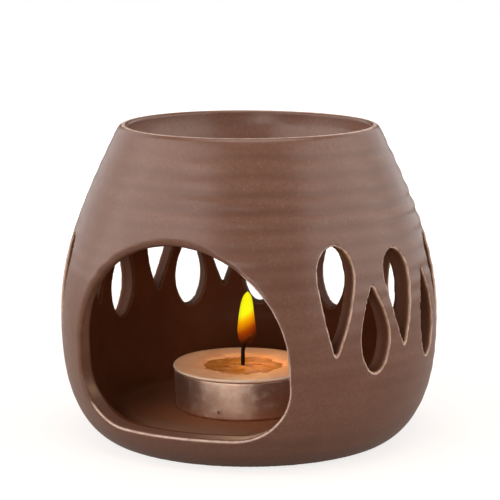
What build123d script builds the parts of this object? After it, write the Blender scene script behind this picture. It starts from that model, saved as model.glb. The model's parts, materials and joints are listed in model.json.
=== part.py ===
from build123d import *
import math
import os

# An essential oil burner: a thrown pot with an arch and teardrop vents, an oil dish luted on its neck,
# and a tealight on its floor. Millimetres, +Z up, standing on z = 0, with the arch facing -Y.

# Outside of the pot: its belly, and how far the rest of the wall stands in from it and down from the neck
BELLY_RADIUS = 50.6
NECK_HEIGHT = 80.2
FOOT_INSET = 10.6
FOOT_FLARE = 30.0  # degrees above level at which the wall leaves the foot
HIP_INSET = 3.8
HIP_HEIGHT = 8.0
BELLY_HEIGHT = 25.0
SHOULDER_INSET = 1.3
SHOULDER_DROP = 34.2
COLLAR_INSET = 6.4
COLLAR_DROP = 18.2
NECK_INSET = 14.7
NECK_LEAN = 26.5  # degrees that the wall leans in where it reaches the neck

# Throwing rings round the upper wall
RING_PITCH = 4.5
RING_DEPTH = 0.2
RING_MARGIN = 2.5  # plain wall between the arch and the lowest ring
RING_STEPS = 4  # points that draw one ring

# Inside of the pot
WALL = 5.0
FLOOR_HEIGHT = 5.8
FLOOR_INSET = 5.5  # from the foot's edge in to where the floor starts to sweep up
SWEEP_HEIGHT = 16.7  # at which the inside has swept up out of the floor
FOOT_RING_WIDTH = 6.0
FOOT_RECESS_DEPTH = 2.8
NECK_WALL = 2.2

# Arch that the tealight goes in through
ARCH_RADIUS = 30.0
SILL_HEIGHT = 8.7
SILL_CORNER_RADIUS = 14.0
JAMB_HEIGHT = 4.3  # of straight side between the sill's corner and the round of the arch
ARCH_ARRIS = 1.2

# Teardrop vents, cut by hand. Each has its share of the way round from one side of the arch to the other,
# the degrees that its top leans and its share of the full length. A flank is drawn from the tip by shares of
# the length and of the half width.
VENT_ARRIS = 0.7
INVERTED_FLANK = ((0.10, 0.23), (0.29, 0.56), (0.50, 0.82), (0.74, 1.00), (0.92, 0.72))
INVERTED_FILL = 0.79  # width, as a share of the room that each vent has
INVERTED_TIP_HEIGHT = 30.2
INVERTED_LENGTH = 26.6
INVERTED_CUTS = (
    (0.049, 3.0, 1.00),
    (0.135, -3.0, 0.91),
    (0.239, 1.0, 0.93),
    (0.333, -1.5, 0.95),
    (0.430, 2.0, 0.92),
    (0.524, -1.0, 0.96),
    (0.618, 1.5, 0.94),
    (0.707, -1.0, 0.92),
    (0.820, 2.0, 0.95),
    (0.933, -1.5, 0.93),
)
UPRIGHT_FLANK = ((0.10, 0.27), (0.27, 0.64), (0.44, 0.90), (0.61, 1.00), (0.79, 0.86), (0.94, 0.50))
UPRIGHT_FILL = 0.725
UPRIGHT_BASE_HEIGHT = 24.4
UPRIGHT_LENGTH = 23.4
UPRIGHT_CUTS = (
    (0.094, -2.0, 0.93),
    (0.190, -3.5, 1.00),
    (0.288, 1.0, 0.97),
    (0.383, -1.0, 0.95),
    (0.477, 1.5, 0.98),
    (0.571, -1.5, 0.96),
    (0.662, 1.0, 0.97),
    (0.768, -1.0, 0.96),
    (0.876, 1.5, 0.97),
)

# Oil dish
RIM_STRAIGHT = 1.3  # of side that carries the wall's line on above the neck
RIM_OUTER_RADIUS = 2.7
RIM_INNER_RADIUS = 1.5
BOWL_DEPTH = 16.0
BOWL_SAG = 3.0  # how far the bowl's floor sinks from its corner to its middle
DISH_THICKNESS = 3.2
SPIGOT_LENGTH = 3.2
SLIP_GAP = 0.25  # between the dish's spigot and the throat that takes it

# Tealight, set down a little off the middle of the floor
TEALIGHT_X = -1.5
TEALIGHT_Y = -0.7
CUP_RADIUS = 19.0
CUP_TAPER = 0.6  # how much narrower the cup's wall is at its base
CUP_HEIGHT = 11.1
CUP_WALL = 0.4
CUP_CORNER_RADIUS = 1.4
CUP_BEAD_RADIUS = 0.3
WAX_GAP = 0.3  # between the wax and the cup that it lifts out of
WAX_DROP = 0.1  # from the cup's rim down to the wax
WAX_EDGE_RADIUS = 0.8
POOL_RADIUS = 10.3
POOL_SLOPE = 1.5  # how much narrower the pool is at its bed
POOL_DEPTH = 1.8
POOL_DROP = 0.6  # from the wax down to its melted surface
WICK_RADIUS = 0.55
WICK_RISE = 4.0  # of straight wick above the melted wax
WICK_BEND_RADIUS = 6.0
WICK_BEND = 35.0  # degrees
WICK_TIP_LENGTH = 1.6  # of straight wick past the bend
WICK_DIRECTION = 24.0  # degrees round from +X that the wick bends towards
SUSTAINER_RADIUS = 6.5
SUSTAINER_THICKNESS = 0.4
CRIMP_RADIUS = 1.3
CRIMP_HEIGHT = 3.0
MELT_GAP = 0.05  # between the wax and what is set in it

CUT_MARGIN = 3.0  # how far a cutter stands clear of what it cuts
HALVINGS = 40  # steps in which a height is found on a line

FOOT_RADIUS = BELLY_RADIUS - FOOT_INSET
FLOOR_RADIUS = FOOT_RADIUS - FLOOR_INSET
SHOULDER_HEIGHT = NECK_HEIGHT - SHOULDER_DROP
COLLAR_HEIGHT = NECK_HEIGHT - COLLAR_DROP
NECK_RADIUS = BELLY_RADIUS - NECK_INSET
THROAT_RADIUS = NECK_RADIUS - NECK_WALL
ARCH_SPRING = SILL_HEIGHT + SILL_CORNER_RADIUS + JAMB_HEIGHT
ARCH_TOP = ARCH_SPRING + ARCH_RADIUS
ARCH_EDGE = math.degrees(math.asin(ARCH_RADIUS / BELLY_RADIUS))  # round from the arch's middle
VENTED_ARC = 360 - 2 * ARCH_EDGE
VENT_ROOM = math.radians(VENTED_ARC) * BELLY_RADIUS / (len(INVERTED_CUTS) + len(UPRIGHT_CUTS) + 1)

# Sections are drawn as (radius, height) and stand in the plane of the arch's middle
SECTION = Plane(origin=(0, 0, 0), x_dir=(0, -1, 0), z_dir=(-1, 0, 0))


def turned(*edges):
    """The solid of revolution of a closed section."""
    return revolve(SECTION * make_face(Curve() + list(edges)), Axis.Z)


def column(radius, low, high, top_radius=None):
    """A round or tapered column on the axis, from one height to another."""
    shape = Cone(radius, top_radius, high - low) if top_radius else Cylinder(radius, high - low)
    return Pos(0, 0, (low + high) / 2) * shape


# Pot

def wall_line():
    """The outside of the wall from foot to neck, before the throwing rings."""
    flare = math.radians(FOOT_FLARE)
    lean = math.radians(NECK_LEAN)
    return Spline(
        (FOOT_RADIUS, 0),
        (BELLY_RADIUS - HIP_INSET, HIP_HEIGHT),
        (BELLY_RADIUS, BELLY_HEIGHT),
        (BELLY_RADIUS - SHOULDER_INSET, SHOULDER_HEIGHT),
        (BELLY_RADIUS - COLLAR_INSET, COLLAR_HEIGHT),
        (NECK_RADIUS, NECK_HEIGHT),
        tangents=((math.cos(flare), math.sin(flare)), (-math.sin(lean), math.cos(lean))),
    )


def share_at_height(line, height):
    """How far along a rising line it reaches a height, as a share of its length."""
    low, high = 0.0, 1.0
    for _ in range(HALVINGS):
        middle = (low + high) / 2
        if (line @ middle).Y < height:
            low = middle
        else:
            high = middle
    return low


def off_wall(line, share, depth):
    """The point that lies a depth inside the wall, square to it."""
    along = line % share
    return line @ share + Vector(-along.Y, along.X) * depth


def ringed_line(line, start):
    """The upper wall, rippled by a whole number of throwing rings."""
    rings = max(1, round(line.length * (1 - start) / RING_PITCH))
    steps = RING_STEPS * rings
    points = []
    for i in range(steps + 1):
        share = start + (1 - start) * i / steps
        ripple = RING_DEPTH * (1 - math.cos(2 * math.pi * i / RING_STEPS)) / 2
        points.append(off_wall(line, share, ripple))
    return Spline(points, tangents=(line % start, line % 1))


def pot_outside():
    """The outside of the pot, still solid, with its foot ring."""
    wall = wall_line()
    start = share_at_height(wall, ARCH_TOP + RING_MARGIN)
    outside = turned(
        Line((0, 0), (FOOT_RADIUS, 0)),
        wall.trim(0, start),
        ringed_line(wall, start),
        Polyline((NECK_RADIUS, NECK_HEIGHT), (0, NECK_HEIGHT), (0, 0)),
    )
    return outside - column(FOOT_RADIUS - FOOT_RING_WIDTH, 0, FOOT_RECESS_DEPTH)


def pot_inside():
    """The room inside the pot: its wall sweeps up out of the floor and ends in the throat."""
    wall = wall_line()
    heights = (SWEEP_HEIGHT, BELLY_HEIGHT, SHOULDER_HEIGHT, COLLAR_HEIGHT, NECK_HEIGHT)
    inner = [off_wall(wall, share_at_height(wall, height), WALL) for height in heights]
    top = inner[-1]
    chamber = turned(
        Line((0, FLOOR_HEIGHT), (FLOOR_RADIUS, FLOOR_HEIGHT)),
        Spline([(FLOOR_RADIUS, FLOOR_HEIGHT)] + inner, tangents=((1, 0), wall % 1)),
        Polyline(top, (0, top.Y), (0, FLOOR_HEIGHT)),
    )
    return chamber + column(THROAT_RADIUS, COLLAR_HEIGHT, NECK_HEIGHT + CUT_MARGIN)


def arch_cutter():
    """A round arch on a level sill with rounded corners, cut straight through the front."""
    corner = SILL_CORNER_RADIUS
    half = ARCH_RADIUS
    outline = (
        Line((-half + corner, SILL_HEIGHT), (half - corner, SILL_HEIGHT))
        + RadiusArc((half - corner, SILL_HEIGHT), (half, SILL_HEIGHT + corner), -corner)
        + Line((half, SILL_HEIGHT + corner), (half, ARCH_SPRING))
        + ThreePointArc((half, ARCH_SPRING), (0, ARCH_TOP), (-half, ARCH_SPRING))
        + Line((-half, ARCH_SPRING), (-half, SILL_HEIGHT + corner))
        + RadiusArc((-half, SILL_HEIGHT + corner), (-half + corner, SILL_HEIGHT), -corner)
    )
    return extrude(Plane.XZ * make_face(outline), BELLY_RADIUS + CUT_MARGIN)


def teardrop(flank, width, length):
    """A teardrop that stands on its point, about its own middle: a smooth closed line in four lengths."""
    right = [(width / 2 * out, length * (up - 0.5)) for up, out in flank]
    left = [(-x, y) for x, y in reversed(right)]
    outline = Spline(right + [(0, length / 2)] + left + [(0, -length / 2)], periodic=True)
    return make_face([outline.trim(start, start + 0.25) for start in (0, 0.25, 0.5, 0.75)])


def vent_cutter(face, share, lean, low, length):
    """A vent's outline, set on its way round the wall with its top leaning, and cut through the wall."""
    turn = math.radians(ARCH_EDGE + share * VENTED_ARC)
    outward = (math.sin(turn), -math.cos(turn), 0)
    sideways = (math.cos(turn), math.sin(turn), 0)
    plane = Plane(origin=(0, 0, low + length / 2), x_dir=sideways, z_dir=outward)
    wall = wall_line()
    narrowest = min((wall @ share_at_height(wall, z)).X for z in (low, low + length))
    start = narrowest - WALL - CUT_MARGIN
    return extrude(plane * Pos(0, 0, start) * Rot(0, 0, -lean) * face, BELLY_RADIUS + CUT_MARGIN - start)


def vent_cutters():
    """The ring of vents: teardrops on their points, with upright ones between them."""
    cutters = []
    for share, lean, long in INVERTED_CUTS:
        length = INVERTED_LENGTH * long
        face = teardrop(INVERTED_FLANK, VENT_ROOM * INVERTED_FILL, length)
        cutters.append(vent_cutter(face, share, lean, INVERTED_TIP_HEIGHT, length))
    for share, lean, long in UPRIGHT_CUTS:
        length = UPRIGHT_LENGTH * long
        face = Rot(0, 0, 180) * teardrop(UPRIGHT_FLANK, VENT_ROOM * UPRIGHT_FILL, length)
        cutters.append(vent_cutter(face, share, lean, UPRIGHT_BASE_HEIGHT, length))
    return cutters


def on_outside(edge):
    """Whether an edge runs along the outer face of the wall."""
    wall = wall_line()
    middle = edge @ 0.5
    face_radius = (wall @ share_at_height(wall, middle.Z)).X
    return math.hypot(middle.X, middle.Y) > face_radius - WALL / 2


def softened(before, after, radius):
    """A cut solid with its new outer arrises rounded over, as a potter's sponge does."""
    arrises = new_edges(before, combined=after).filter_by(GeomType.LINE, reverse=True)
    return fillet(arrises.filter_by(on_outside), radius)


def burner_body():
    """The pot: its arch cut and softened, its inside hollowed, then its vents cut and softened."""
    plain = pot_outside()
    arched = softened(plain, plain - arch_cutter(), ARCH_ARRIS)
    shell = arched - pot_inside()
    return softened(shell, shell - vent_cutters(), VENT_ARRIS)


# Oil dish

def bowl_line(radius, top, depth):
    """Half of a bowl's section, from its upright side round the corner to its middle."""
    corner = depth - BOWL_SAG
    floor_radius = ((radius - corner) ** 2 - BOWL_SAG**2) / (2 * BOWL_SAG) + depth
    turn = 90 - math.degrees(math.asin((radius - corner) / (floor_radius - corner)))
    side = JernArc((radius, top), (0, -1), corner, -turn)
    floor = TangentArc(side @ 1, (0, top - depth), tangent=side % 1)
    return side + floor


def oil_dish():
    """A bowl with a rolled rim. Its rim sits on the neck and its spigot hangs in the throat."""
    lean = math.radians(NECK_LEAN)
    spigot = THROAT_RADIUS - SLIP_GAP
    spigot_end = NECK_HEIGHT - SPIGOT_LENGTH
    up_wall = Vector(-math.sin(lean), math.cos(lean))
    roll_start = Vector(NECK_RADIUS, NECK_HEIGHT) + up_wall * RIM_STRAIGHT
    outer_roll = JernArc(roll_start, up_wall, RIM_OUTER_RADIUS, 90 - NECK_LEAN)
    inner_roll = JernArc(outer_roll @ 1, (-1, 0), RIM_INNER_RADIUS, 90)
    bowl_top = inner_roll @ 1
    bowl = bowl_line(bowl_top.X, bowl_top.Y, BOWL_DEPTH)
    underside = bowl_top.Y - BOWL_DEPTH - DISH_THICKNESS
    outside = bowl_line(spigot, spigot_end, spigot_end - underside)
    return turned(
        Polyline((spigot, spigot_end), (spigot, NECK_HEIGHT), (NECK_RADIUS, NECK_HEIGHT), roll_start),
        outer_roll,
        inner_roll,
        bowl,
        Line((0, bowl_top.Y - BOWL_DEPTH), (0, underside)),
        outside,
    )


# Tealight, with its own base at z = 0

WAX_TOP = CUP_HEIGHT - WAX_DROP
POOL_BED = WAX_TOP - POOL_DEPTH
POOL_TOP = WAX_TOP - POOL_DROP


def cup_column(inset, low):
    """The tapered room inside the cup's outer face, drawn in by an inset, with a rounded base edge."""
    top_radius = CUP_RADIUS - CUP_BEAD_RADIUS - inset
    solid = column(top_radius - CUP_TAPER, low, CUP_HEIGHT, top_radius)
    base_edge = solid.edges().group_by(Axis.Z)[0]
    return fillet(base_edge, CUP_CORNER_RADIUS)


def tealight_cup():
    """A pressed cup with a small bead round its rim."""
    bead = Pos(0, 0, CUP_HEIGHT - CUP_BEAD_RADIUS) * Torus(CUP_RADIUS - CUP_BEAD_RADIUS, CUP_BEAD_RADIUS)
    return cup_column(0, 0) - cup_column(CUP_WALL, CUP_WALL) + bead


def candle_wax():
    """The block of wax, with its melted hollow and room for the wick and its sustainer."""
    block = cup_column(CUP_WALL + WAX_GAP, CUP_WALL)
    block -= column(CUP_RADIUS, WAX_TOP, CUP_HEIGHT)
    block = fillet(block.edges().group_by(Axis.Z)[-1], WAX_EDGE_RADIUS)
    hollow = column(POOL_RADIUS - POOL_SLOPE, POOL_BED, WAX_TOP, POOL_RADIUS)
    disc_room = column(SUSTAINER_RADIUS + MELT_GAP, CUP_WALL, CUP_WALL + SUSTAINER_THICKNESS + MELT_GAP)
    crimp_room = column(CRIMP_RADIUS + MELT_GAP, CUP_WALL, CUP_WALL + CRIMP_HEIGHT + MELT_GAP)
    wick_room = column(WICK_RADIUS + MELT_GAP, CUP_WALL, WAX_TOP)
    return block - hollow - disc_room - crimp_room - wick_room


def wax_pool():
    """The melted wax, which fills the hollow to just under its rim."""
    share = (POOL_TOP - POOL_BED) / POOL_DEPTH
    bed_radius = POOL_RADIUS - POOL_SLOPE - MELT_GAP
    melted = column(bed_radius, POOL_BED, POOL_TOP, bed_radius + share * POOL_SLOPE)
    return melted - column(WICK_RADIUS + MELT_GAP, POOL_BED, POOL_TOP)


def wick():
    """The wick, straight up from the cup's floor and bent over at its tip."""
    bend_start = (0, POOL_TOP + WICK_RISE)
    straight = Line((0, CUP_WALL), bend_start)
    bend = JernArc(bend_start, (0, 1), WICK_BEND_RADIUS, -WICK_BEND)
    tip = Line(bend @ 1, bend @ 1 + (bend % 1) * WICK_TIP_LENGTH)
    path = Plane.XZ * (straight + bend + tip)
    upright = sweep(Pos(0, 0, CUP_WALL) * Circle(WICK_RADIUS), path)
    return Rot(0, 0, WICK_DIRECTION) * upright


def wick_sustainer():
    """The tin disc under the wax, with the crimped neck that holds the wick."""
    disc = column(SUSTAINER_RADIUS, CUP_WALL, CUP_WALL + SUSTAINER_THICKNESS)
    neck = column(CRIMP_RADIUS, CUP_WALL, CUP_WALL + CRIMP_HEIGHT)
    bore = column(WICK_RADIUS + MELT_GAP, CUP_WALL, CUP_WALL + CRIMP_HEIGHT)
    return disc + neck - bore


on_floor = Pos(TEALIGHT_X, TEALIGHT_Y, FLOOR_HEIGHT)
nodes = {
    "burner_body": burner_body(),
    "oil_dish": oil_dish(),
    "tealight_cup": on_floor * tealight_cup(),
    "candle_wax": on_floor * candle_wax(),
    "wax_pool": on_floor * wax_pool(),
    "wick": on_floor * wick(),
    "wick_sustainer": on_floor * wick_sustainer(),
}

os.makedirs("parts", exist_ok=True)
for name, solid in nodes.items():
    export_step(solid, f"parts/{name}.step")
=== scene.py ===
import json
import math

import bpy
import numpy as np
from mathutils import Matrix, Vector

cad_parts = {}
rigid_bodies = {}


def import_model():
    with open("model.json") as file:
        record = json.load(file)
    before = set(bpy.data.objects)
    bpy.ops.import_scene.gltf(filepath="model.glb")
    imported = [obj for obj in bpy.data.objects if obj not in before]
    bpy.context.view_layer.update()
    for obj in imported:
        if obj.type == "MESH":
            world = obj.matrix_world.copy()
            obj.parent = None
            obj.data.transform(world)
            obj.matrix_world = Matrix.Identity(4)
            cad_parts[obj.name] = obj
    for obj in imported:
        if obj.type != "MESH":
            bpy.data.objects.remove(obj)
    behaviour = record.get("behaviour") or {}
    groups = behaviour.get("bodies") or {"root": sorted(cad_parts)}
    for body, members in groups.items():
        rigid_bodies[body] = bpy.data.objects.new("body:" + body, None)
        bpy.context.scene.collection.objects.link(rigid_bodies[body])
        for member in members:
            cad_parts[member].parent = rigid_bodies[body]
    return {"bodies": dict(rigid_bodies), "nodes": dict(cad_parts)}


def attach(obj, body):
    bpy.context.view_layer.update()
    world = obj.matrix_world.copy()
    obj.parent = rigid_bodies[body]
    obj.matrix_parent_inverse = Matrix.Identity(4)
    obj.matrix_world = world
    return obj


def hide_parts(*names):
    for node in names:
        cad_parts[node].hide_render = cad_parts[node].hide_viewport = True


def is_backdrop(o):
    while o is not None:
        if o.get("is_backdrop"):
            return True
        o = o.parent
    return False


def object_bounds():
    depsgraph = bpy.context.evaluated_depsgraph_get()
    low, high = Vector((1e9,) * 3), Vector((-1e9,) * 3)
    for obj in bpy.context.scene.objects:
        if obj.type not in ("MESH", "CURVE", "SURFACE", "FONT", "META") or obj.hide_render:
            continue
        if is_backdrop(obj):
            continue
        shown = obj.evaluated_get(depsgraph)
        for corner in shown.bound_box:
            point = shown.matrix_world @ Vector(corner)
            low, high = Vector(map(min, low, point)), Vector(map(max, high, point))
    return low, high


# An essential oil burner with a lit tealight. Lengths are in millimetres here, and in metres in the meshes.

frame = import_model()
cad_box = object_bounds()
MM = 0.001
rng = np.random.default_rng(7)

# Pot: section
FOOT_RADIUS = 40.0
FOOT_RING_WIDTH = 6.0
FOOT_RECESS_DEPTH = 2.8
NECK_RADIUS = 35.9
NECK_HEIGHT = 80.2
THROAT_RADIUS = 33.7
WALL_KNOTS = ((FOOT_RADIUS, 0), (46.8, 8), (50.6, 25), (49.3, 46), (44.2, 62), (NECK_RADIUS, NECK_HEIGHT))
FOOT_FLARE = math.radians(30)
NECK_LEAN = math.radians(26.5)
WALL = 5.0
FLOOR_RADIUS = 34.5
FLOOR_HEIGHT = 5.8
INSIDE_HEIGHTS = (16.7, 25, 46, 62, 79)

# Pot: throwing rings
RING_PITCH = 4.45
RING_HIGH = 0.18  # half depth on the shoulder
RING_LOW = 0.05  # half depth on the belly
RING_SIDE = math.radians(114)  # where the rings are deepest

# Pot: arch and vents
ARCH_RADIUS = 29.2
ARCH_SPRING = 27.5
SILL_HEIGHT = 8.7
SILL_CORNER = 14.0
ARCH_ARRIS = 1.2
ARCH_ROLL = 2.4  # arris at the arch's upper left, where it is rubbed down most
VENT_ARRIS = 0.6
ARCH_LINE = 0.85  # reach of the pale line along an arris, partly worn glaze and partly painted highlight
VENT_LINE = 0.68
RIM_LINE = 0.6
VENT_START = math.radians(36.4)  # round from the arch's middle to where the vents' share of the wall starts
INVERTED_FLANK = ((0.10, 0.23), (0.29, 0.56), (0.50, 0.82), (0.74, 1.00), (0.92, 0.72))
INVERTED_WIDTH = 10.0
INVERTED_TIP = 30.2
INVERTED_LENGTH = 26.6
INVERTED_CUTS = (
    (0.049, 3.0, 1.00),
    (0.135, -3.0, 0.91),
    (0.239, 1.0, 0.93),
    (0.333, -1.5, 0.95),
    (0.430, 2.0, 0.92),
    (0.524, -1.0, 0.96),
    (0.618, 1.5, 0.94),
    (0.707, -1.0, 0.92),
    (0.820, 2.0, 0.95),
    (0.933, -1.5, 0.93),
)
UPRIGHT_FLANK = ((0.10, 0.27), (0.27, 0.64), (0.44, 0.90), (0.61, 1.00), (0.79, 0.86), (0.94, 0.50))
UPRIGHT_WIDTH = 9.2
UPRIGHT_BASE = 24.4
UPRIGHT_LENGTH = 23.4
UPRIGHT_CUTS = (
    (0.094, -2.0, 0.93),
    (0.190, -3.5, 1.00),
    (0.288, 1.0, 0.97),
    (0.383, -1.0, 0.95),
    (0.477, 1.5, 0.98),
    (0.571, -1.5, 0.96),
    (0.662, 1.0, 0.97),
    (0.768, -1.0, 0.96),
    (0.876, 1.5, 0.97),
)

# Dish
RIM_STRAIGHT = 1.75
RIM_OUTER = 2.0
RIM_INNER = 0.9
BOWL_DEPTH = 16.6
BOWL_SAG = 3.0
DISH_THICKNESS = 3.2
SPIGOT_RADIUS = 33.45
SPIGOT_LENGTH = 3.2
SKIRT = 2.6  # how far the luted dish is smeared down over the neck
SKIRT_PROUD = 0.08  # of the wall, where the skirt starts
SKIRT_DIP = 0.3  # how fast it sinks into the wall

# Tealight, from the floor that it stands on
TEALIGHT = np.array((-1.5, -0.7, FLOOR_HEIGHT))
CUP_RADIUS = 19.0
CUP_TAPER = 0.35
CUP_HEIGHT = 10.4
CUP_CORNER = 0.7
CUP_WALL = 0.35
CUP_PANEL = 0.25  # how far the base is pressed in
CUP_NICK = TEALIGHT + (1.6, -18.45, 2.3)
WAX_RADIUS = 18.0
WAX_TOP = 11.4
WAX_FOOT = 0.45
WAX_LIP = 0.4  # radius of the lip over the cup's rim
WAX_SHORE = 1.2  # from the pool's edge out to the flat wax
WAX_SLOPE = 3.2  # run of the slope from there down to the bed
POOL_RADIUS = 10.3
POOL_REACH = 10.6  # of the melted surface, which ends under the slope
POOL_BED_RADIUS = 8.6
POOL_BED = 9.6
POOL_TOP = 10.7

# Flame
FLAME_LOW = 16.7
FLAME_HEIGHT = 14.7
FLAME_RADIUS = 2.6
FLAME_SHIFT = np.array((1.2, 0.55))  # from the wick's foot
FLAME_SKINS = (1, 0.72, 0.42)  # width of each nested skin
FLAME_SHAPE = (
    (0, 0.50), (0.03, 0.75), (0.11, 0.94), (0.26, 1.00), (0.41, 0.90),
    (0.58, 0.79), (0.77, 0.64), (0.90, 0.46), (0.96, 0.28), (1, 0),
)

VOXEL = 0.75
TURN_STEPS = 192

# Corners of the box that the pot is drawn in
POT_LOW = np.array((-54.0, -54.0, -2.0))
POT_HIGH = np.array((54.0, 54.0, 82.5))

# Camera
PITCH = math.radians(10.34)
AZIMUTH = math.radians(24.4)
TARGET = Vector((0, 0, 0.04858))
DISTANCE = 0.4976
LENS = 132.8
SENSOR_WIDTH = 36
SHIFT_X = 0.002
back = Vector((math.sin(AZIMUTH) * math.cos(PITCH), -math.cos(AZIMUTH) * math.cos(PITCH), math.sin(PITCH)))
right = Vector((math.cos(AZIMUTH), math.sin(AZIMUTH), 0))
level_back = Vector((math.sin(AZIMUTH), -math.cos(AZIMUTH), 0))

# Stage, in metres. The floor is white to the camera, less so near the pot, where its shadow shows.
FLOOR_REACH = 2.0
SHADE_NEAR = 0.08
SHADE_FAR = 0.4
SHADE_WHITE = 0.74
MIRRORED_FLOOR = 0.12
WORLD_LEVEL = 0.1


# Lines and distances

def smooth_line(knots, start, end, steps=24):
    """Points of the smooth line through the knots that leaves and arrives in the given directions."""
    knots = np.array(knots, float)
    spans = np.diff(knots, axis=0)
    lengths = np.linalg.norm(spans, axis=1)
    count = len(knots)
    terms = np.eye(count)
    sides = np.zeros((count, 2))
    sides[0], sides[-1] = start, end
    for i in range(1, count - 1):
        before, after = lengths[i - 1], lengths[i]
        terms[i, i - 1 : i + 2] = after, 2 * (before + after), before
        sides[i] = 3 * (after / before * spans[i - 1] + before / after * spans[i])
    slopes = np.linalg.solve(terms, sides)
    t = np.linspace(0, 1, steps, endpoint=False)[:, None]
    points = []
    for i in range(count - 1):
        points.append(
            knots[i]
            + (3 * t**2 - 2 * t**3) * spans[i]
            + lengths[i] * ((t**3 - 2 * t**2 + t) * slopes[i] + (t**3 - t**2) * slopes[i + 1])
        )
    return np.vstack(points + [knots[-1:]])


def closed_line(knots, steps=10):
    """Points of a smooth closed line through the knots."""
    knots = np.array(knots, float)
    t = np.linspace(0, 1, steps, endpoint=False)[:, None]
    points = []
    for i in range(len(knots)):
        a, b, c, d = (knots[(i + k) % len(knots)] for k in (-1, 0, 1, 2))
        squared = a - 2.5 * b + 2 * c - d / 2
        cubed = 1.5 * (b - c) + (d - a) / 2
        points.append(b + t * (c - a) / 2 + t**2 * squared + t**3 * cubed)
    return np.vstack(points)


def outline_distance(points, outline):
    """Distance of plane points from a closed outline, negative inside it."""
    nearest = np.full(len(points), np.inf)
    inside = np.zeros(len(points), bool)
    for a, b in zip(outline, np.roll(outline, -1, axis=0)):
        edge = b - a
        away = points - a
        share = np.clip(away @ edge / (edge @ edge), 0, 1)
        nearest = np.minimum(nearest, ((away - share[:, None] * edge) ** 2).sum(axis=1))
        if edge[1]:
            spans = (a[1] > points[:, 1]) != (b[1] > points[:, 1])
            inside ^= spans & (away[:, 0] < away[:, 1] * edge[0] / edge[1])
    return np.where(inside, -1, 1) * np.sqrt(nearest)


def rounded_cut(solid, hole, radius):
    """Distance from a solid with a hole in it, with the arris between them rounded."""
    a, b = solid + radius, radius - hole
    return np.minimum(np.maximum(solid, -hole), -radius) + np.hypot(np.maximum(a, 0), np.maximum(b, 0))


# Pot

wall_outside = smooth_line(
    WALL_KNOTS,
    (math.cos(FOOT_FLARE), math.sin(FOOT_FLARE)),
    (-math.sin(NECK_LEAN), math.cos(NECK_LEAN)),
)


def pot_section(outside):
    """The outline of the pot's wall, foot ring and floor, as (radius, height)."""
    knots = [(FLOOR_RADIUS, FLOOR_HEIGHT)]
    for height in INSIDE_HEIGHTS:
        i = np.searchsorted(outside[:, 1], height)
        along = outside[i + 1] - outside[i - 1]
        along /= np.linalg.norm(along)
        knots.append(outside[i] + WALL * np.array((-along[1], along[0])))
    inside = smooth_line(knots, (1, 0), (-math.sin(NECK_LEAN), math.cos(NECK_LEAN)))
    below_throat = (inside[:, 0] > THROAT_RADIUS) | (inside[:, 1] < NECK_HEIGHT / 2)
    inner_foot = FOOT_RADIUS - FOOT_RING_WIDTH
    foot = [(0, FOOT_RECESS_DEPTH), (inner_foot, FOOT_RECESS_DEPTH), (inner_foot, 0)]
    throat = [(THROAT_RADIUS, NECK_HEIGHT), (THROAT_RADIUS, inside[below_throat][-1][1])]
    return np.vstack([foot, outside, throat, inside[below_throat][::-1], [(0, FLOOR_HEIGHT)]])


SECTION_STEP = 0.25
SECTION_LOW = np.array((-1.0, -4.0))
SECTION_HIGH = np.array((58.0, 86.0))
section_radii = np.arange(SECTION_LOW[0], SECTION_HIGH[0], SECTION_STEP)
section_heights = np.arange(SECTION_LOW[1], SECTION_HIGH[1], SECTION_STEP)
section_grid = np.stack(np.meshgrid(section_radii, section_heights, indexing="ij"), axis=-1)
section_table = outline_distance(section_grid.reshape(-1, 2), pot_section(wall_outside))
section_table = section_table.reshape(section_grid.shape[:2])


def section_distance(radius, height):
    """Distance from the pot's wall before anything is cut out of it."""
    u = np.clip((radius - SECTION_LOW[0]) / SECTION_STEP, 0, len(section_radii) - 1.001)
    v = np.clip((height - SECTION_LOW[1]) / SECTION_STEP, 0, len(section_heights) - 1.001)
    i, j = u.astype(int), v.astype(int)
    u, v = u - i, v - j
    low = section_table[i, j] * (1 - u) + section_table[i + 1, j] * u
    high = section_table[i, j + 1] * (1 - u) + section_table[i + 1, j + 1] * u
    return low * (1 - v) + high * v


ring_phases = rng.uniform(0, 2 * math.pi, 6)


def ring_wave(turn, height):
    """The throwing rings, one long spiral with an uneven pitch, from -1 in a groove to 1 on a ridge."""
    drift = 0.55 * np.sin(height / 7.3 + ring_phases[0])
    drift = drift + 0.35 * np.sin(2 * turn + height / 17 + ring_phases[1])
    uneven = 0.75 + 0.25 * np.sin(height / 3.1 + turn + ring_phases[2])
    side = 0.7 + 0.4 * np.cos(turn - RING_SIDE)
    return side * uneven * np.sin(2 * math.pi * height / RING_PITCH + turn + drift)


def ring_ripple(turn, height):
    """How far the throwing rings move the wall out, with a slight lean of the hand-thrown form."""
    shoulder = np.clip((height - 40) / 20, 0, 1)
    depth = (RING_LOW + (RING_HIGH - RING_LOW) * shoulder) * np.clip((height - 3) / 6, 0, 1)
    depth = depth * np.clip((NECK_HEIGHT - height) / 3, 0, 1)
    wobble = 0.12 * np.sin(2 * turn + ring_phases[3]) + 0.07 * np.sin(3 * turn + height / 20 + ring_phases[4])
    return depth * ring_wave(turn, height) + wobble * np.clip(height / 10, 0, 1)


def arch_distance(x, y, z):
    """Distance from the arch's opening, which goes through the front alone."""
    round_top = np.hypot(x, z - ARCH_SPRING) - ARCH_RADIUS
    across = np.abs(x) - ARCH_RADIUS + SILL_CORNER
    down = SILL_HEIGHT + SILL_CORNER - z
    square = np.hypot(np.maximum(across, 0), np.maximum(down, 0)) + np.minimum(np.maximum(across, down), 0)
    uneven = 0.15 * np.sin(x / 9 + 0.7) * np.cos(z / 11)
    return np.maximum(np.where(z > ARCH_SPRING, round_top, square - SILL_CORNER) + uneven, y)


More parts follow.
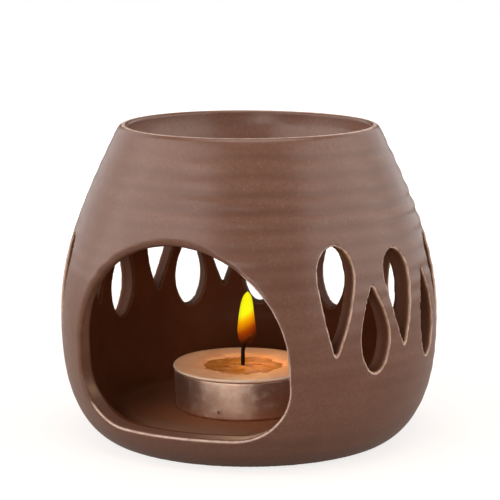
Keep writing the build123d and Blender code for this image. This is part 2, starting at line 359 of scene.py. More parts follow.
def vent_list():
    """Each vent's direction out, direction across, middle height, lean and outline."""
    kinds = (
        (INVERTED_CUTS, INVERTED_FLANK, INVERTED_WIDTH, INVERTED_LENGTH, INVERTED_TIP, 1),
        (UPRIGHT_CUTS, UPRIGHT_FLANK, UPRIGHT_WIDTH, UPRIGHT_LENGTH, UPRIGHT_BASE, -1),
    )
    vents = []
    for cuts, flank, width, full_length, low, up in kinds:
        for share, lean, long in cuts:
            turn = VENT_START + share * 2 * (math.pi - VENT_START)
            length = full_length * long
            right = [(width / 2 * out, up * length * (rise - 0.5)) for rise, out in flank]
            left = [(-x, y) for x, y in reversed(right)]
            outline = closed_line(right + [(0, up * length / 2)] + left + [(0, -up * length / 2)])
            outward = np.array((math.sin(turn), -math.cos(turn), 0))
            across = np.array((math.cos(turn), math.sin(turn), 0))
            vents.append((outward, across, low + length / 2, math.radians(lean), outline))
    return vents


VENTS = vent_list()


def vent_distances(points):
    """For each vent, which points lie near it and how far they are from its opening."""
    for outward, across, middle, lean, outline in VENTS:
        u, v = points @ across, points[:, 2] - middle
        reach = np.abs(outline).max(axis=0) + 4
        near = np.flatnonzero((points @ outward > 25) & (np.abs(u) < reach[0]) & (np.abs(v) < reach[1]))
        u, v = u[near], v[near]
        cos, sin = math.cos(lean), math.sin(lean)
        yield near, outline_distance(np.stack((u * cos - v * sin, u * sin + v * cos), axis=1), outline)


def plain_wall(points):
    """Distance from the rippled wall before anything is cut out of it."""
    x, y, z = points.T
    return section_distance(np.hypot(x, y) - ring_ripple(np.arctan2(x, -y), z), z)


def pot_distance(points):
    """Distance from the finished pot."""
    x, _, z = points.T
    rubbed = np.clip((z - 25) / 20, 0, 1) * np.clip((20 - x) / 16, 0, 1)
    arris = ARCH_ARRIS + (ARCH_ROLL - ARCH_ARRIS) * rubbed
    solid = rounded_cut(plain_wall(points), arch_distance(*points.T), arris)
    for near, hole in vent_distances(points):
        solid[near] = rounded_cut(solid[near], hole, VENT_ARRIS)
    return solid


def arris_place(points):
    """Where points lie: through the wall, from the nearest arris in two directions, and from a vent."""
    x, y, z = points.T
    wall = plain_wall(points)
    depth = (np.interp(z, wall_outside[:, 1], wall_outside[:, 0]) - np.hypot(x, y)) / WALL
    away = arch_distance(x, y, z) / ARCH_LINE
    soft = np.clip((z - 13) / 5, 0, 1) * np.clip((18 - x) / 6, 0, 1) * (depth < 0.5)
    inward = np.abs(wall) / ARCH_LINE + 3 * soft
    from_vent = np.full(len(points), WALL)
    for near, hole in vent_distances(points):
        from_vent[near] = np.minimum(from_vent[near], hole)
        closer = hole / VENT_LINE < away[near]
        inward[near] = np.where(closer, np.abs(wall[near]) / VENT_LINE, inward[near])
        away[near] = np.where(closer, hole / VENT_LINE, away[near])
    return {"depth": depth, "inward": inward, "away": away, "from_vent": from_vent}


def slope(distance, points, step=0.12):
    """The direction in which a distance grows fastest."""
    parts = []
    for axis in np.eye(3) * step:
        parts.append(distance(points + axis) - distance(points - axis))
    direction = np.stack(parts, axis=1)
    return direction / np.maximum(np.linalg.norm(direction, axis=1), 1e-9)[:, None]


def surface_net(values, low, step):
    """Points and four-sided faces of the surface on which gridded values pass zero."""
    inside = values < 0
    cells = tuple(n - 1 for n in values.shape)
    total = np.zeros(cells + (3,))
    count = np.zeros(cells)
    for axis in range(3):
        for side in np.ndindex(2, 2):
            start = list(side)
            start.insert(axis, 0)
            end = list(side)
            end.insert(axis, 1)
            a = values[tuple(slice(s, s + n) for s, n in zip(start, cells))]
            b = values[tuple(slice(e, e + n) for e, n in zip(end, cells))]
            where = np.nonzero((a < 0) != (b < 0))
            share = a[where] / (a[where] - b[where])
            for k in range(3):
                total[where + (np.full(len(share), k),)] += share if k == axis else start[k]
            count[where] += 1
    used = np.nonzero(count)
    number = np.full(cells, -1)
    number[used] = np.arange(len(used[0]))
    points = low + step * (np.stack(used, axis=1) + total[used] / count[used][:, None])
    faces = []
    for axis in range(3):
        u, v = (axis + 1) % 3, (axis + 2) % 3
        here = [slice(1, -1)] * 3
        here[axis] = slice(0, -1)
        there = list(here)
        there[axis] = slice(1, None)
        first = inside[tuple(here)]
        cross = np.argwhere(first != inside[tuple(there)])
        leaves = first[tuple(cross.T)]
        cross[:, u] += 1
        cross[:, v] += 1
        ring = []
        for du, dv in ((1, 1), (0, 1), (0, 0), (1, 0)):
            cell = cross.copy()
            cell[:, u] -= du
            cell[:, v] -= dv
            ring.append(number[tuple(cell.T)])
        quads = np.stack(ring, axis=1)
        quads[~leaves] = quads[~leaves][:, ::-1]
        faces.append(quads)
    return points, np.vstack(faces)


def new_piece(name, points, faces, material, body, slot, *nodes):
    """A smooth mesh piece that stands for CAD nodes and rides on their body. Points are in millimetres."""
    mesh = bpy.data.meshes.new(name)
    mesh.from_pydata([tuple(p) for p in np.asarray(points) * MM], [], [tuple(map(int, f)) for f in faces])
    mesh.polygons.foreach_set("use_smooth", np.ones(len(mesh.polygons), bool))
    mesh.materials.append(material)
    piece = bpy.data.objects.new(name, mesh)
    bpy.context.scene.collection.objects.link(piece)
    if nodes:
        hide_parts(*nodes)
    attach(piece, body)
    return piece


def add_values(piece, name, values):
    """Stores one number per point on a piece, for its material."""
    attribute = piece.data.attributes.new(name, "FLOAT", "POINT")
    attribute.data.foreach_set("value", np.asarray(values, np.float32))


def make_pot(material):
    """The pot: the surface on which its distance passes zero, with each point moved right onto it."""
    counts = np.ceil((POT_HIGH - POT_LOW) / VOXEL).astype(int)
    axes = [POT_LOW[k] + VOXEL * np.arange(counts[k]) for k in range(3)]
    grid = np.stack(np.meshgrid(*axes, indexing="ij"), axis=-1).reshape(-1, 3)
    values = pot_distance(grid).reshape(counts)
    points, faces = surface_net(values, POT_LOW, VOXEL)
    for _ in range(2):
        points = points - pot_distance(points)[:, None] * slope(pot_distance, points)
    pot = new_piece("pot", points, faces, material, "burner", "glazed_pot", "burner_body")
    pot.data.normals_split_custom_set_from_vertices(slope(pot_distance, points))
    x, y, z = points.T
    add_values(pot, "ring", ring_wave(np.arctan2(x, -y), z) * np.clip((z - 38) / 16, 0.25, 1))
    for name, values in arris_place(points).items():
        add_values(pot, name, values)


def turned(outline, steps=TURN_STEPS, move=None):
    """Points and faces of a closed piece of revolution. Its outline runs from the axis round to the axis."""
    outline = np.array(outline, float)
    turn = np.arange(steps) * 2 * math.pi / steps
    radius, height = (np.repeat(outline[1:-1, k][:, None], steps, axis=1) for k in (0, 1))
    angle = np.repeat(turn[None], len(outline) - 2, axis=0)
    if move:
        radius, height = move(radius, height, angle)
    rings = np.stack((radius * np.sin(angle), -radius * np.cos(angle), height), axis=-1).reshape(-1, 3)
    points = np.vstack([rings, [(0, 0, outline[0, 1]), (0, 0, outline[-1, 1])]])
    here = np.arange(steps)
    after = (here + 1) % steps
    faces = []
    for i in range(len(outline) - 3):
        low, high = i * steps, (i + 1) * steps
        faces += np.stack((low + here, low + after, high + after, high + here), axis=1).tolist()
    last = (len(outline) - 3) * steps
    faces += [(len(rings), b, a) for a, b in zip(here, after)]
    faces += [(len(rings) + 1, last + a, last + b) for a, b in zip(here, after)]
    return points, faces


def arc(middle, radius, start, end, steps=10):
    """Points of a circular arc, from one angle in degrees to another."""
    angle = np.radians(np.linspace(start, end, steps))
    return np.stack((middle[0] + radius * np.cos(angle), middle[1] + radius * np.sin(angle)), axis=1)


def bowl_line(radius, top, depth):
    """Half of a bowl's section, from its upright side round the corner to its middle."""
    corner = depth - BOWL_SAG
    floor = ((radius - corner) ** 2 - BOWL_SAG**2) / (2 * BOWL_SAG) + depth
    turn = 90 - math.degrees(math.asin((radius - corner) / (floor - corner)))
    side = arc((radius - corner, top), corner, 0, -turn, 16)
    return np.vstack([side, arc((0, top - depth + floor), floor, -turn, -90, 14)[1:]])


def make_dish(material):
    """The dish, its rolled rim and the skirt that is smeared down over the neck."""
    up_wall = np.array((-math.sin(NECK_LEAN), math.cos(NECK_LEAN)))
    neck = np.array((NECK_RADIUS, NECK_HEIGHT))
    out = np.array((up_wall[1], -up_wall[0]))
    roll_start = neck + up_wall * RIM_STRAIGHT
    roll_middle = roll_start - out * RIM_OUTER
    outer_roll = arc(roll_middle, RIM_OUTER, math.degrees(NECK_LEAN), 90, 14)
    inner_roll = arc(outer_roll[-1] - (0, RIM_INNER), RIM_INNER, 90, 180, 12)
    bowl = bowl_line(*inner_roll[-1], BOWL_DEPTH)
    spigot_end = NECK_HEIGHT - SPIGOT_LENGTH
    underside = bowl_line(SPIGOT_RADIUS, spigot_end, spigot_end - bowl[-1][1] + DISH_THICKNESS)
    skirt = []
    for t in np.linspace(1, 0, 7):
        proud = SKIRT_PROUD - SKIRT_DIP * t - SKIRT_DIP * t**2
        skirt.append(neck - up_wall * SKIRT * t + out * proud)
    outline = np.vstack([underside[::-1], skirt, outer_roll, inner_roll[1:], bowl[1:]])

    def uneven(radius, height, turn):
        return radius + ring_ripple(turn, height), height + 0.1 * np.sin(2 * turn + ring_phases[5])

    points, faces = turned(outline, move=uneven)
    dish = new_piece("dish", points, faces, material, "burner", "glazed_pot", "oil_dish")
    normals = np.array([vertex.normal for vertex in dish.data.vertices])
    on_skirt = (np.hypot(points[:, 0], points[:, 1]) > NECK_RADIUS - 1) & (points[:, 2] < NECK_HEIGHT + 0.5)
    normals[on_skirt] = slope(plain_wall, points[on_skirt] - (0, 0, 1.5))
    dish.data.normals_split_custom_set_from_vertices(normals)
    # The rim's pale line runs from the crest into the bowl, partly worn glaze and partly painted highlight.
    from_crest = np.hypot(points[:, 0], points[:, 1]) - outer_roll[-1][0] - 0.2
    add_values(dish, "inward", np.maximum(roll_start[1] - points[:, 2], 0))
    add_values(dish, "away", from_crest / RIM_LINE)
    add_values(dish, "from_vent", np.full(len(points), WALL))
    add_values(dish, "ring", np.zeros(len(points)))
    # The bowl's points, which the glaze lightens as painted light.
    in_bowl = np.zeros(len(points))
    in_bowl[-2 - TURN_STEPS * (len(bowl) - 2) :] = 1
    in_bowl[-2] = 0  # the middle of the underside
    add_values(dish, "bowl", in_bowl)


def make_cup(material):
    """The pressed cup, a little uneven from handling."""
    base = CUP_RADIUS - CUP_TAPER - CUP_WALL
    corner = arc((base - CUP_CORNER, CUP_CORNER), CUP_CORNER, -90, 0)
    inside = arc((base - CUP_CORNER, CUP_CORNER), CUP_CORNER - CUP_WALL, 0, -90)
    rim = arc((CUP_RADIUS - 0.5, CUP_HEIGHT - 0.2), 0.11, -10, 190, 8)
    side = CUP_HEIGHT - CUP_CORNER
    wall = [(base + CUP_TAPER * share, CUP_CORNER + side * share) for share in (0.3, 0.6, 0.9)]
    thin = [(radius - CUP_WALL, height) for radius, height in reversed(wall)]
    bottom = [(0, CUP_PANEL), (base - 4, CUP_PANEL), (base - 3, 0)]
    middle = [(0, CUP_WALL + CUP_PANEL)]
    outline = np.vstack([bottom, corner, wall, rim, thin, inside, middle])

    def dented(radius, height, turn):
        dent = 0.05 * np.sin(5 * turn + 1) + 0.04 * np.sin(9 * turn + height / 3) + 0.03 * np.sin(23 * turn)
        return radius + dent * np.clip(radius - 15, 0, 1) * np.clip(height / 3, 0, 1), height

    points, faces = turned(outline, move=dented)
    new_piece("tealight_shell", points + TEALIGHT, faces, material, "tealight", "cup_metal", "tealight_cup")


def pool_edge(turn):
    """The scalloped edge of the melted pool."""
    return POOL_RADIUS + 0.25 * np.sin(7 * turn + 0.4) + 0.2 * np.sin(11 * turn + 2) + 0.2 * np.sin(4 * turn)


def make_wax(material):
    """The wax, with a lip over the cup's rim and a scalloped hollow where it has melted."""
    lip = arc((CUP_RADIUS - WAX_LIP, WAX_TOP - WAX_LIP), WAX_LIP, -80, 90, 10)
    shore = POOL_RADIUS + WAX_SHORE
    top = [(radius, WAX_TOP) for radius in np.linspace(CUP_RADIUS - 1.2, shore, 10)]
    drop = WAX_TOP - POOL_BED
    slope_down = [(shore - WAX_SLOPE * share, WAX_TOP - drop * share) for share in np.linspace(0.08, 1, 12)]
    foot = [
        (0, WAX_FOOT),
        (WAX_RADIUS - 1.6, WAX_FOOT),
        (WAX_RADIUS - 0.9, WAX_FOOT + 0.9),
        (WAX_RADIUS, CUP_HEIGHT + 0.1),
    ]
    outline = np.vstack([foot, lip, top, slope_down, [(3, POOL_BED), (0, POOL_BED)]])

    def flowed(radius, height, turn):
        upper = height > CUP_HEIGHT - 2
        rim = upper & (radius < POOL_RADIUS + 2) & (radius > 5)
        near = np.clip(1 - np.abs(radius - POOL_RADIUS) / 2, 0, 1)
        ridges = 0.20 * np.sin(17 * turn + 1.3 * np.sin(3 * turn)) + 0.12 * np.sin(29 * turn + 2)
        scoop = np.where(rim, radius * pool_edge(turn) / POOL_RADIUS, radius)
        swell = 0.06 * np.sin(3 * turn + radius / 3) * (height > WAX_TOP - 0.05)
        dip = 0.18 * np.clip((15 - radius) / 5, 0, 1) * upper
        return scoop, height + near * ridges * upper + swell - dip

    points, faces = turned(outline, move=flowed)
    wax = new_piece("wax", points + TEALIGHT, faces, material, "candle", "wax", "candle_wax")
    radius = np.hypot(points[:, 0], points[:, 1])
    add_values(wax, "melted", (POOL_RADIUS + 3 - radius) / 4)
    add_values(wax, "lip", radius - CUP_RADIUS + 1)


def make_pool(material):
    """The melted wax, drawn up a little round the wick."""
    bed = POOL_BED + 0.1
    radii = [POOL_REACH + 0.02, *np.linspace(POOL_REACH, 2, 16), *np.linspace(1.6, 0.8, 4), 0]
    outline = [(0, bed), (POOL_BED_RADIUS, bed)] + [(radius, POOL_TOP) for radius in radii]

    def rippled(radius, height, turn):
        ripple = 0.05 * np.sin(5 * turn + radius) + 0.04 * np.sin(2 * turn - radius * 0.8)
        drawn_up = 0.25 * np.exp(-((radius - 0.6) ** 2))
        surface = height > POOL_TOP - 0.1
        rise = (ripple * np.clip(radius / 3, 0, 1) + drawn_up) * surface
        return radius * pool_edge(turn) / POOL_RADIUS, height + rise

    points, faces = turned(outline, move=rippled)
    new_piece("melt", points + TEALIGHT, faces, material, "candle", "melted_wax", "wax_pool")


def make_flame(material):
    """Three nested skins of flame, which show more strongly where more of them lie behind each other."""
    shape = np.array(FLAME_SHAPE)
    heights = np.linspace(0, 1, 28)
    half = np.interp(heights, shape[:, 0], shape[:, 1])
    half = np.convolve(np.pad(half, 1, mode="edge"), (0.25, 0.5, 0.25), mode="valid")
    points, faces, warmth, layer = [], [], [], []
    for share in FLAME_SKINS:
        levels = FLAME_LOW + FLAME_HEIGHT * (0.04 * (1 - share) + heights * (0.92 + 0.08 * share))
        outline = np.stack((half * FLAME_RADIUS * share, levels), axis=1)
        outline = np.vstack([[(0, levels[0] - 0.3)], outline[:-1], [(0, levels[-1])]])
        skin, quads = turned(outline, 48)
        faces += [[corner + sum(map(len, points)) for corner in quad] for quad in quads]
        rise = (skin[:, 2] - FLAME_LOW) / FLAME_HEIGHT
        skin[:, :2] += FLAME_SHIFT + np.outer(0.5 * np.sin(rise * 3), (-0.6, -0.3))
        warmth.append(rise - 0.042 * ((skin[:, :2] - FLAME_SHIFT) @ (right.x, right.y)))
        layer.append(np.full(len(skin), share))
        points.append(skin)
    flame = new_piece("flame", np.vstack(points) + TEALIGHT, faces, material, "candle", "wick_cotton")
    add_values(flame, "warmth", np.concatenate(warmth))
    add_values(flame, "layer", np.concatenate(layer))


# Materials

class Paint:
    """A material's nodes. An input is a number, a colour or the output of another node."""

    def __init__(self, name):
        self.material = bpy.data.materials.new(name)
        self.material.use_nodes = True
        self.nodes = self.material.node_tree.nodes
        self.shader = self.nodes["Principled BSDF"]

    def set(self, node, inputs):
        for name, value in inputs.items():
            socket = node.inputs[name]
            if isinstance(value, bpy.types.NodeSocket):
                self.material.node_tree.links.new(value, socket)
            else:
                socket.default_value = value
        return node

    def add(self, kind, inputs=None, **settings):
        node = self.nodes.new("ShaderNode" + kind)
        for name, value in settings.items():
            setattr(node, name, value)
        return self.set(node, inputs or {})

    def place(self):
        return self.add("TexCoord").outputs["Object"]

    def value(self, name):
        return self.add("Attribute", attribute_name=name).outputs["Fac"]

    def noise(self, size, detail=3.0, stretch=(1, 1, 1)):
        """Noise with features of about a size in millimetres."""
        where = self.add("Mapping", {"Vector": self.place(), "Scale": stretch}).outputs["Vector"]
        inputs = {"Vector": where, "Scale": 1 / (size * MM), "Detail": detail}
        return self.add("TexNoise", inputs).outputs["Fac"]

    def span(self, value, low, high, to_low=0.0, to_high=1.0):
        """A value mapped smoothly from one span to another."""
        inputs = {"Value": value, "From Min": low, "From Max": high, "To Min": to_low, "To Max": to_high}
        return self.add("MapRange", inputs, interpolation_type="SMOOTHSTEP").outputs["Result"]

    def mix(self, share, a, b):
        """Two colours, mixed by the share of the second."""
        return self.add("Mix", {0: share, 6: a, 7: b}, data_type="RGBA").outputs[2]

    def times(self, a, b):
        return self.add("Math", {0: a, 1: b}, operation="MULTIPLY").outputs[0]

    def ramp(self, value, *stops):
        """The colour at a value between stops, each a place and a colour."""
        node = self.add("ValToRGB", {"Fac": value})
        elements = node.color_ramp.elements
        while len(elements) < len(stops):
            elements.new(0.5)
        for element, (place, colour) in zip(elements, stops):
            element.position = place
            element.color = colour
        return node.outputs["Color"]

    def bump(self, height, depth, strength=1.0, under=None):
        """A bump of a depth in millimetres."""
        inputs = {"Height": height, "Distance": depth * MM, "Strength": strength}
        if under:
            inputs["Normal"] = under
        return self.add("Bump", inputs).outputs["Normal"]


def glaze_paint():
    """A satin brown glaze: mottled, with painted shade in the grooves, on the vents' cut faces and inside,
    painted light in the dish's bowl and on the chamber floor, and broken to tan on the arrises with a painted
    highlight along that line.
    """
    paint = Paint("glaze")
    cloud = paint.span(paint.noise(9, 4), 0.3, 0.7)
    colour = paint.mix(cloud, (0.143, 0.063, 0.040, 1), (0.168, 0.078, 0.050, 1))
    band = paint.span(paint.noise(5, 2, (0.12, 0.12, 1)), 0.35, 0.65, 0, 0.6)
    colour = paint.mix(band, colour, (0.184, 0.087, 0.056, 1))
    # Painted light: the inside of the dish's bowl is lightened, as if more light fell into it.
    colour = paint.mix(paint.span(paint.value("bowl"), 0, 1, 0, 0.5), colour, (0.230, 0.112, 0.075, 1))
    # Painted shade: the grooves of the throwing rings are darkened where shade falls in them.
    groove = paint.span(paint.value("ring"), 0.2, -0.7, 0, 0.5)
    colour = paint.mix(groove, colour, (0.100, 0.042, 0.025, 1))
    grain = paint.span(paint.noise(0.9, 5), 0.3, 0.7, 0, 0.5)
    colour = paint.mix(grain, colour, (0.130, 0.050, 0.028, 1))
    speck = paint.span(paint.noise(0.55, 2), 0.60, 0.74, 0, 0.3)
    colour = paint.mix(speck, colour, (0.30, 0.175, 0.125, 1))
    depth = paint.value("depth")
    by_vent = paint.span(paint.value("from_vent"), 0.5, 0.1)
    cut = paint.times(by_vent, paint.span(depth, 0.05, 0.3))
    # Painted shade: the vents' cut faces are darkened as if in shade.
    dark = paint.times(cut, paint.span(depth, 0.4, 0.8, 1, 0.3))
    colour = paint.mix(dark, colour, (0.105, 0.037, 0.019, 1))
    # Painted shade: the inside of the pot gets a darker colour that stands in for the little light reaching
    # it.
    inside = paint.span(depth, 0.85, 1.0)
    inner = paint.mix(cloud, (0.100, 0.026, 0.008, 1), (0.122, 0.034, 0.011, 1))
    # Painted light: the chamber floor is lighter than the inner walls, and lighter still towards the arch,
    # where light falls in through it.
    forward = paint.add("SeparateXYZ", {0: paint.place()}).outputs["Y"]
    front = paint.span(forward, -20 * MM, -34 * MM)
    chamber_floor = paint.mix(front, (0.270, 0.098, 0.042, 1), (0.285, 0.140, 0.085, 1))
    inner = paint.mix(paint.span(depth, 1.6, 2.6), inner, chamber_floor)
    colour = paint.mix(inside, colour, inner)
    # The pale line along the arrises is partly glaze worn thin to tan and partly a painted highlight; this
    # noise breaks it into patches.
    line_patchiness = paint.span(paint.noise(2.5, 3), 0.3, 0.6, 0.55, 1)
    place = paint.add("CombineXYZ", {"X": paint.value("inward"), "Y": paint.value("away")}).outputs[0]
    from_arris = paint.add("VectorMath", {0: place}, operation="LENGTH").outputs["Value"]
    edge = paint.times(paint.span(from_arris, 0.95, 0.55), line_patchiness)
    inner_edge = paint.span(depth, 0.4, 0.7)
    edge = paint.times(edge, paint.span(paint.times(inner_edge, by_vent), 0, 1, 1, 0))
    tan = paint.mix(by_vent, (0.64, 0.45, 0.36, 1), (0.42, 0.235, 0.135, 1))
    tan = paint.mix(inner_edge, tan, (0.22, 0.10, 0.045, 1))
    colour = paint.mix(edge, colour, tan)
    bare = paint.add("Math", {0: cut, 1: inside}, operation="MAXIMUM").outputs[0]
    satin = paint.span(paint.noise(3, 4), 0.25, 0.75, 0.28, 0.34)
    rough = paint.add("Math", {0: satin, 1: paint.span(bare, 0, 1, 0, 0.35)}, operation="ADD").outputs[0]
    shine = paint.span(bare, 0, 1, 0.5, 0.12)
    fine = paint.bump(paint.noise(0.6, 3), 0.02, 0.2)
    normal = paint.bump(paint.noise(4, 2), 0.05, 0.4, fine)
    inputs = {"Base Color": colour, "Roughness": rough, "Specular IOR Level": shine, "Normal": normal}
    inputs["Specular Tint"] = (1, 0.88, 0.82, 1)
    paint.set(paint.shader, inputs)
    return paint.material


def cup_paint():
    """Pressed aluminium, tinted warm as a painted reflection of the brown pot round it, with drawing marks,
    mottled scuffs, shallow dents and one dark nick.
    """
    paint = Paint("cup_metal")
    drawn = paint.noise(0.5, 3, (1, 1, 0.12))
    scuff = paint.span(paint.noise(2.2, 6), 0.40, 0.80)
    mottle = paint.noise(0.7, 4)
    # Painted reflection: the metal's warm tint stands in for the brown pot that it reflects.
    colour = paint.mix(scuff, (0.93, 0.63, 0.47, 1), (0.97, 0.76, 0.61, 1))
    colour = paint.mix(paint.span(mottle, 0.45, 0.75, 0, 0.25), colour, (0.60, 0.36, 0.25, 1))
    places = {0: paint.place(), 1: CUP_NICK * MM}
    from_nick = paint.add("VectorMath", places, operation="DISTANCE").outputs["Value"]
    nick = paint.times(paint.span(from_nick, 1.0 * MM, 0.4 * MM), paint.span(mottle, 0.40, 0.55))
    colour = paint.mix(nick, colour, (0.36, 0.20, 0.14, 1))
    rough = paint.span(scuff, 0, 1, 0.41, 0.52)
    fine = paint.bump(drawn, 0.02, 0.25)
    fine = paint.bump(mottle, 0.05, 0.3, fine)
    normal = paint.bump(paint.noise(4, 3), 0.10, 0.3, fine)
    inputs = {"Base Color": colour, "Metallic": 1.0, "Roughness": rough, "Normal": normal}
    paint.set(paint.shader, inputs)
    return paint.material


def wax_paint():
    """Cream wax with the flame's warm light partly painted into its peach colour, warmer where it has melted
    and set again.
    """
    paint = Paint("wax")
    cloud = paint.span(paint.noise(4, 4), 0.3, 0.7)
    # Painted light: part of the peach in these colours stands in for the flame's warm light on the wax.
    colour = paint.mix(cloud, (0.86, 0.46, 0.25, 1), (0.94, 0.57, 0.35, 1))
    grain = paint.span(paint.noise(0.5, 3), 0.55, 0.75, 0, 0.4)
    colour = paint.mix(grain, colour, (0.92, 0.68, 0.49, 1))
    colour = paint.mix(paint.span(paint.value("melted"), 0, 1, 0, 0.5), colour, (0.52, 0.22, 0.055, 1))
    colour = paint.mix(paint.span(paint.value("lip"), 0.4, 0.8, 0, 0.8), colour, (0.97, 0.68, 0.50, 1))
    normal = paint.bump(paint.noise(1.2, 4), 0.06, 0.6)
    inputs = {"Base Color": colour, "Roughness": paint.span(cloud, 0, 1, 0.42, 0.55), "Normal": normal}
    inputs["Subsurface Weight"] = 0.25
    inputs["Subsurface Radius"] = (1.0, 0.5, 0.25)
    inputs["Subsurface Scale"] = 2 * MM
    paint.set(paint.shader, inputs)
    return paint.material


def melt_paint():
    """Clear melted wax over its amber bed."""
    paint = Paint("melted_wax")
    cloud = paint.span(paint.noise(2.5, 3), 0.3, 0.7)
    colour = paint.mix(cloud, (0.52, 0.20, 0.035, 1), (0.66, 0.31, 0.085, 1))
    normal = paint.bump(paint.noise(2.2, 2), 0.04, 0.4)
    inputs = {"Base Color": colour, "Roughness": 0.1, "Normal": normal, "Coat Weight": 0.6}
    paint.set(paint.shader, inputs)
    return paint.material


def wick_paint():
    """Charred braided cotton."""
    paint = Paint("wick_cotton")
    braid = paint.noise(0.35, 3, (1, 1, 0.6))
    colour = paint.mix(braid, (0.004, 0.002, 0.001, 1), (0.022, 0.010, 0.006, 1))
    inputs = {"Base Color": colour, "Roughness": 0.9, "Specular IOR Level": 0.05}
    inputs["Normal"] = paint.bump(braid, 0.15)
    paint.set(paint.shader, inputs)
    return paint.material


def tin_paint():
    """Tinplate with a faint grain."""
    paint = Paint("sustainer_tin")
    grain = paint.noise(0.4, 4, (1, 0.15, 1))
    colour = paint.mix(grain, (0.42, 0.41, 0.40, 1), (0.62, 0.61, 0.59, 1))
    inputs = {"Base Color": colour, "Metallic": 1.0, "Roughness": paint.span(grain, 0, 1, 0.3, 0.5)}
    inputs["Normal"] = paint.bump(grain, 0.02, 0.5)
    paint.set(paint.shader, inputs)
    return paint.material


def flame_paint():
    """A candle flame: clear and dark at its foot, then orange, then yellow."""
    paint = Paint("flame")
    warmth = paint.value("warmth")
    outer = paint.ramp(
        warmth,
        (0.05, (0.08, 0.009, 0.001, 1)),
        (0.30, (0.42, 0.050, 0.001, 1)),
        (0.50, (0.98, 0.36, 0.001, 1)),
        (0.64, (0.99, 0.97, 0.008, 1)),
        (0.94, (0.98, 0.88, 0.006, 1)),
    )
    inner = paint.ramp(
        warmth,
        (0.10, (0.08, 0.012, 0.001, 1)),
        (0.34, (0.34, 0.05, 0.002, 1)),
        (0.50, (0.98, 0.42, 0.002, 1)),
        (0.60, (1.0, 1.0, 0.012, 1)),
    )
    colour = paint.mix(paint.span(paint.value("layer"), 1.0, 0.6), outer, inner)
    glow = paint.add("Emission", {"Color": colour, "Strength": 1.0}).outputs[0]
    clear = paint.add("BsdfTransparent").outputs[0]
    shown = paint.span(warmth, 0.0, 0.46, 0.07, 0.62)
    both = paint.add("MixShader", {0: shown, 1: clear, 2: glow}).outputs[0]
    paint.set(paint.nodes["Material Output"], {"Surface": both})
    paint.nodes.remove(paint.shader)
    return paint.material


# Pieces

glaze = glaze_paint()
make_pot(glaze)
make_dish(glaze)
make_cup(cup_paint())
make_wax(wax_paint())
make_pool(melt_paint())
make_flame(flame_paint())
for name, paint in (("wick", wick_paint()), ("wick_sustainer", tin_paint())):
    frame["nodes"][name].data.materials.clear()
    frame["nodes"][name].data.materials.append(paint)


# Stage: floor, light and camera

camera_data = bpy.data.cameras.new("camera")
camera_data.lens = LENS
camera_data.sensor_width = SENSOR_WIDTH
camera_data.shift_x = SHIFT_X
camera = bpy.data.objects.new("camera", camera_data)
camera.location = TARGET + back * DISTANCE
camera.rotation_euler = (-back).to_track_quat("-Z", "Y").to_euler()
bpy.context.scene.collection.objects.link(camera)
bpy.context.scene.camera = camera
bpy.context.scene.view_settings.view_transform = "Standard"


def soft_box(name, start, end, low, high, glow):
    """A lamp that stands upright between two places, given as metres across and towards the camera."""
    ends = [right * across + level_back * towards for across, towards in (start, end)]
    lamp = bpy.data.lights.new(name, "AREA")
    lamp.shape = "RECTANGLE"
    lamp.size = (ends[1] - ends[0]).length
    lamp.size_y = high - low
    lamp.energy = glow * math.pi * lamp.size * lamp.size_y
    piece = bpy.data.objects.new(name, lamp)
    piece.location = (ends[0] + ends[1]) / 2 + Vector((0, 0, (low + high) / 2))
    outward = (ends[1] - ends[0]).cross(Vector((0, 0, 1))).normalized()
    outward *= 1 if outward.dot(piece.location) > 0 else -1
    piece.rotation_euler = outward.to_track_quat("Z", "Y").to_euler()
    bpy.context.scene.collection.objects.link(piece)


soft_box("left_front_box", (-0.41, 0.80), (-0.72, 0.46), 0.28, 0.9, 3.0)
soft_box("left_box", (-0.72, 0.46), (-0.88, -0.31), 0.0, 0.9, 2.5)
soft_box("left_rear_box", (-0.88, -0.31), (-0.35, -0.95), 0.0, 0.9, 1.0)
soft_box("front_box", (-0.41, 0.80), (0.62, 0.74), 0.15, 0.9, 0.15)
soft_box("right_box", (0.62, 0.74), (0.86, -0.31), 0.0, 0.9, 2.2)
soft_box("right_rear_box", (0.86, -0.31), (0.35, -0.95), 0.0, 0.9, 1.1)
soft_box("low_box", (-0.34, 0.74), (-0.02, 0.81), 0.0, 0.25, 5.4)

top_light = bpy.data.lights.new("top_box", "AREA")
top_light.size = 0.8
top_light.energy = 5
top_box = bpy.data.objects.new("top_box", top_light)
top_box.location = (0, 0, 1.0)
bpy.context.scene.collection.objects.link(top_box)

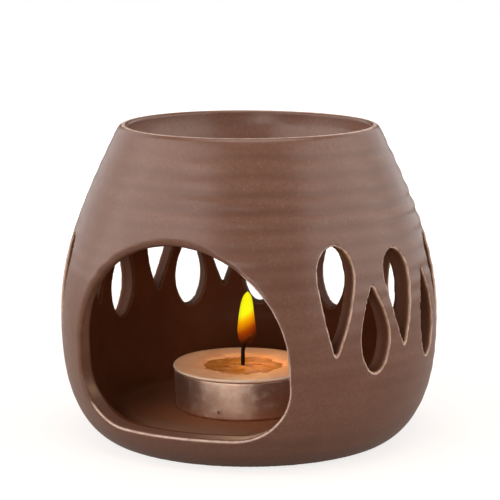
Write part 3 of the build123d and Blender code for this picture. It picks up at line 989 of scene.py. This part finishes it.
flame_light = bpy.data.lights.new("flame_light", "POINT")
flame_light.color = (1, 0.55, 0.2)
flame_light.energy = 0.025
flame_light.shadow_soft_size = FLAME_RADIUS * MM
flame_lamp = bpy.data.objects.new("flame_light", flame_light)
flame_lamp.location = (np.append(FLAME_SHIFT, FLAME_LOW + FLAME_HEIGHT / 2) + TEALIGHT) * MM
flame_lamp.parent = frame["bodies"]["candle"]
bpy.context.scene.collection.objects.link(flame_lamp)

floor_mesh = bpy.data.meshes.new("floor")
floor_corners = [(x * FLOOR_REACH, y * FLOOR_REACH, 0) for x, y in ((-1, -1), (1, -1), (1, 1), (-1, 1))]
floor_mesh.from_pydata(floor_corners, [], [(0, 1, 2, 3)])
floor = bpy.data.objects.new("floor", floor_mesh)
bpy.context.scene.collection.objects.link(floor)
floor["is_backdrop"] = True
floor_paint = Paint("floor_paint")
floor_paint.set(floor_paint.shader, {"Base Color": (0.32, 0.265, 0.23, 1), "Roughness": 0.8})
rays = floor_paint.add("LightPath").outputs
mirrored = floor_paint.span(rays["Is Glossy Ray"], 0, 1, 0, MIRRORED_FLOOR)
reach = floor_paint.add("VectorMath", {0: floor_paint.place()}, operation="LENGTH").outputs["Value"]
clear = floor_paint.span(reach, SHADE_NEAR, SHADE_FAR, SHADE_WHITE, 1)
white = floor_paint.times(rays["Is Camera Ray"], clear)
lift = floor_paint.add("Math", {0: white, 1: mirrored}, operation="ADD").outputs[0]
floor_paint.set(floor_paint.shader, {"Emission Color": (1, 1, 1, 1), "Emission Strength": lift})
floor_mesh.materials.append(floor_paint.material)

world = bpy.data.worlds.new("studio")
world.use_nodes = True
bpy.context.scene.world = world
tree = world.node_tree
tree.nodes["Background"].inputs["Color"].default_value = (1, 1, 1, 1)
path = tree.nodes.new("ShaderNodeLightPath")
level = tree.nodes.new("ShaderNodeMapRange")
level.inputs["To Min"].default_value = WORLD_LEVEL
tree.links.new(path.outputs["Is Camera Ray"], level.inputs["Value"])
tree.links.new(level.outputs["Result"], tree.nodes["Background"].inputs["Strength"])

boxes = {"cad": cad_box, "visual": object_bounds()}
{name: [list(corner) for corner in box] for name, box in boxes.items()}
